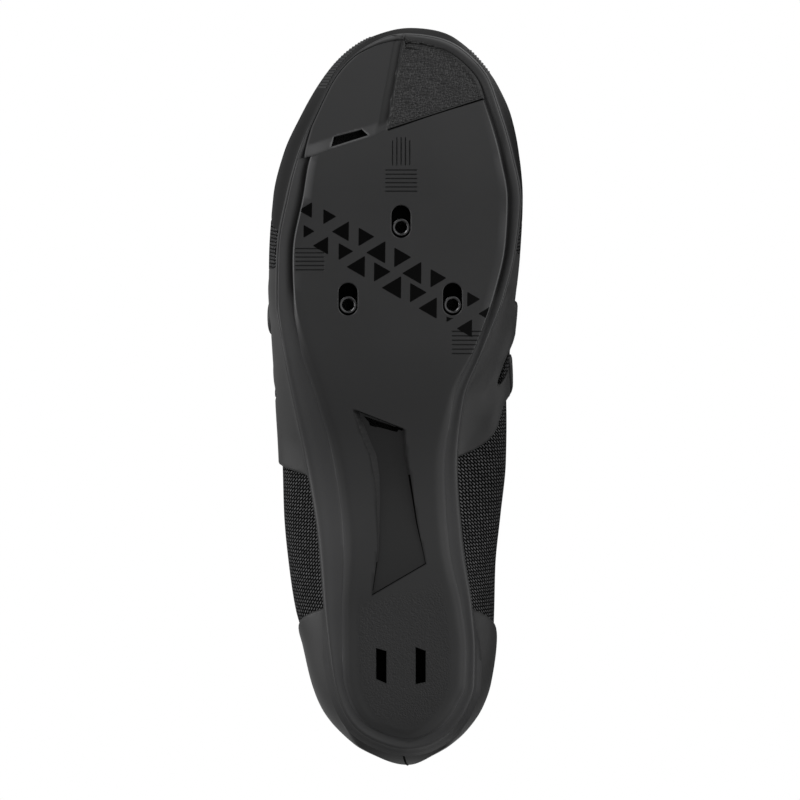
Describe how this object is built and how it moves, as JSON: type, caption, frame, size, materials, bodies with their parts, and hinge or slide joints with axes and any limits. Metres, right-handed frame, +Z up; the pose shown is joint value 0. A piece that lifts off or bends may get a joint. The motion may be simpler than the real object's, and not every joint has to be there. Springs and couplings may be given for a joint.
{
  "type": "road cycling shoe",
  "caption": "Right road cycling shoe lying on its medial side: stiff plate sole with three cleat slots and a sliding nut plate, hollow woven upper, two straps.",
  "frame": {"origin": "bottom centre of the shoe's bounding box as it lies on its medial side on the floor", "axes": "+X from heel to toe, -Y the way the sole faces, +Z up, with the lateral side on top"},
  "size_m": [0.2846, 0.0878, 0.097],
  "materials": {
    "composite": "satin",
    "toe_rubber": "matte",
    "steel": "satin",
    "insole_fabric": "matte",
    "woven_mesh": "matte",
    "tongue_fabric": "matte",
    "bumper": "matte",
    "smooth_panel": "satin",
    "strap_fabric": "matte"
  },
  "bodies": {
    "shoe": {"outsole": "composite", "toe_pad": "toe_rubber", "insole": "insole_fabric", "upper": "woven_mesh", "tongue": "tongue_fabric", "toe_cap": "bumper", "medial_wing": "smooth_panel", "lateral_wing": "smooth_panel", "heel_counter": "smooth_panel", "front_strap": "strap_fabric", "rear_strap": "strap_fabric"},
    "cleat_nuts": {"cleat_nut_plate": "steel"}
  },
  "joints": [
    {"name": "cleat_nut_slide", "type": "slide", "parent": "shoe", "child": "cleat_nuts", "axis": [0.998, -0.0012, 0.0625], "range_m": [0, 0.0048]}
  ]
}
